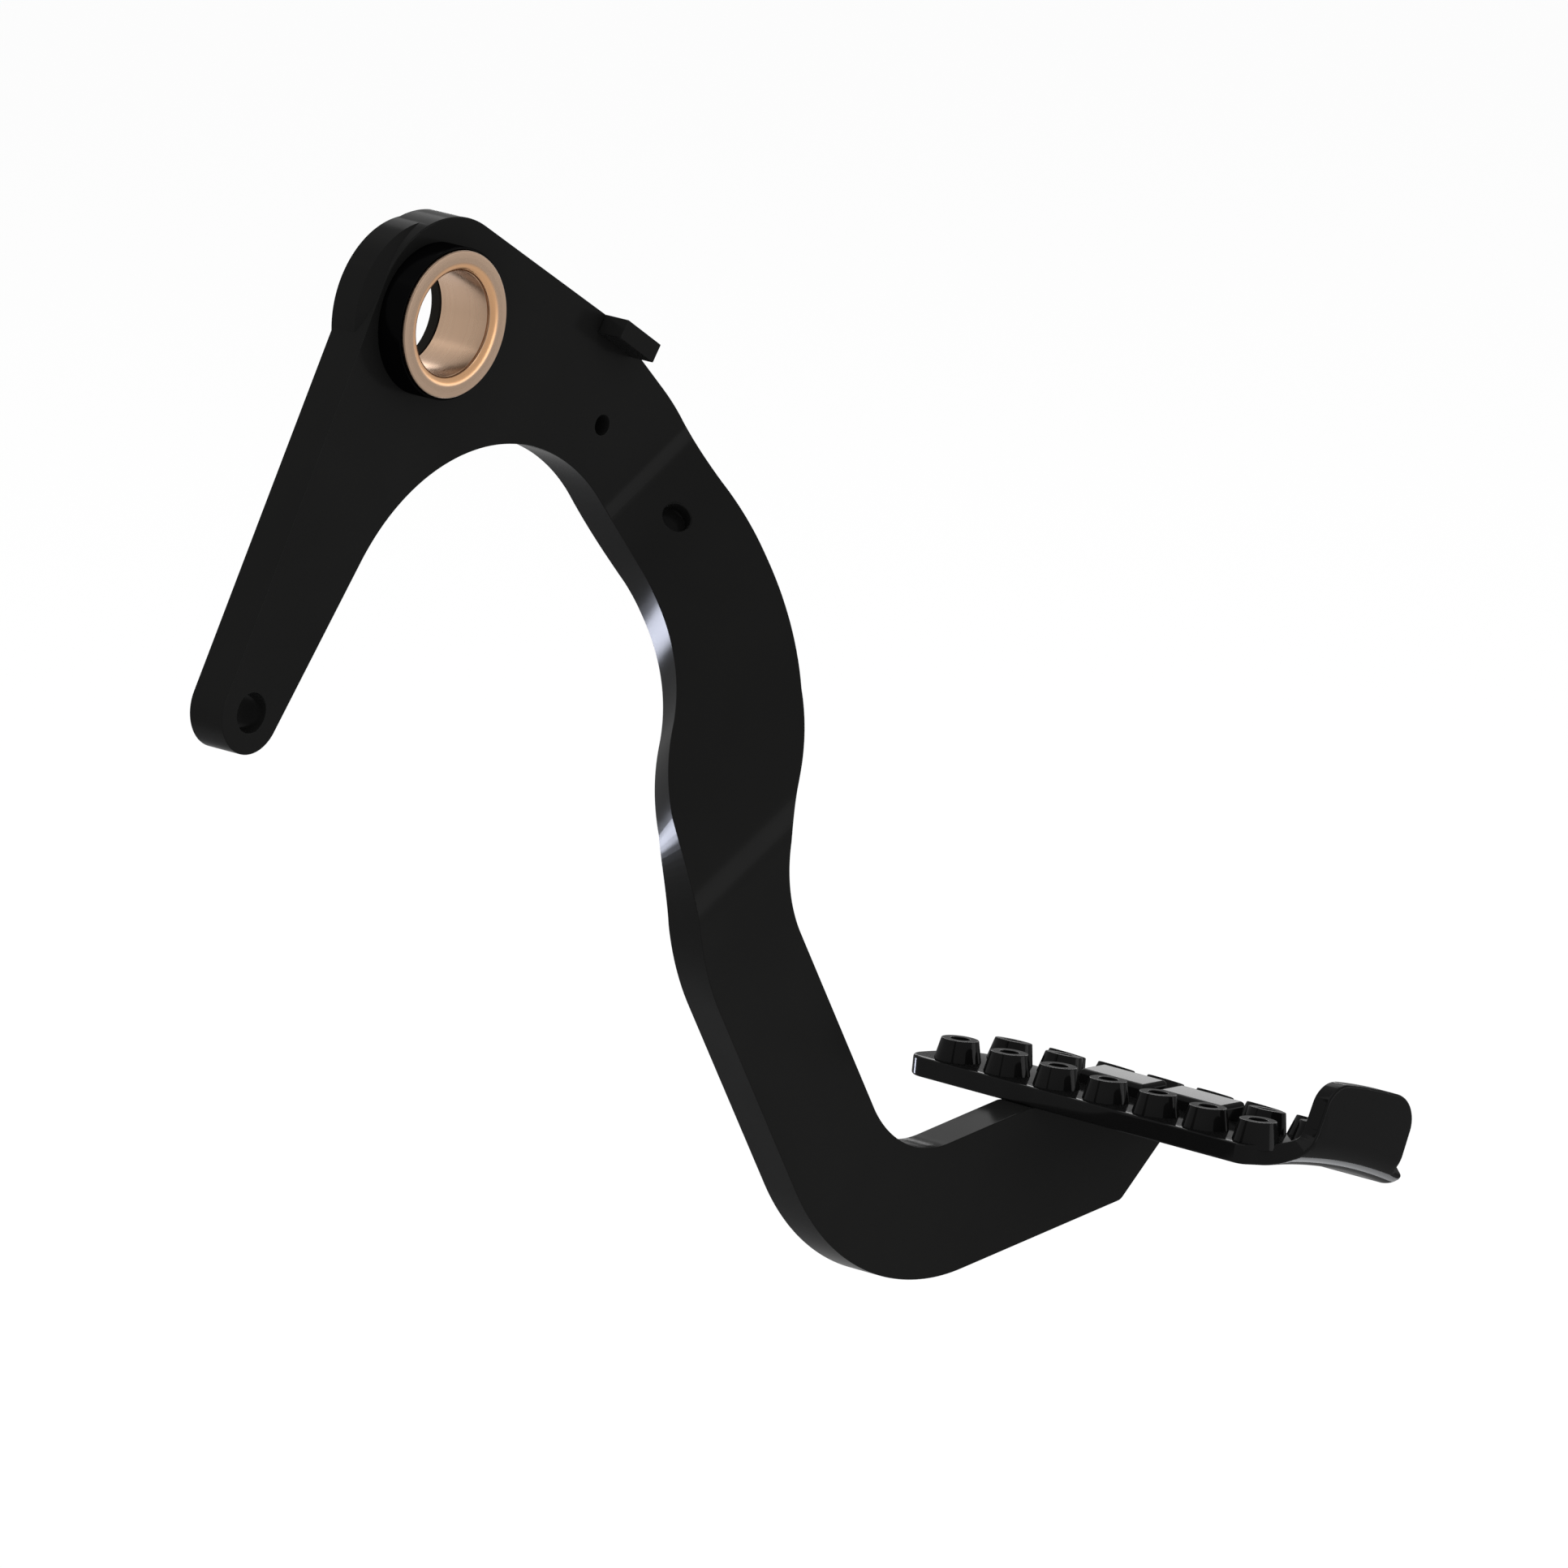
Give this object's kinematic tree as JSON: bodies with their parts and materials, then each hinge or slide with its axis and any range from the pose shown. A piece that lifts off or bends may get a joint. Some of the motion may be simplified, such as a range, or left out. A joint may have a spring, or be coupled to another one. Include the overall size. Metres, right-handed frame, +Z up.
{
  "type": "clutch pedal",
  "caption": "Black joggled plate pedal lever with a bushed pivot boss, push-rod eye, stop lug and a curved studded foot pad with a turned-up lip.",
  "frame": {"origin": "on the pivot axis, in the plane of the lever head's front face", "axes": "+Y along the pivot axis, toward the back of the lever; +Z up; +X from the pivot toward the foot pad"},
  "size_m": [0.2225, 0.1093, 0.2201],
  "materials": {
    "lever_paint": "smooth black paint",
    "boss_paint": "smooth black paint",
    "bush_bronze": "turned bronze",
    "pad_paint": "glossy black paint"
  },
  "bodies": {
    "root": {"lever_plate": "lever_paint", "pivot_boss": "boss_paint", "flange_bush": "bush_bronze", "stop_lug": "lever_paint", "foot_pad": "pad_paint"}
  },
  "joints": []
}
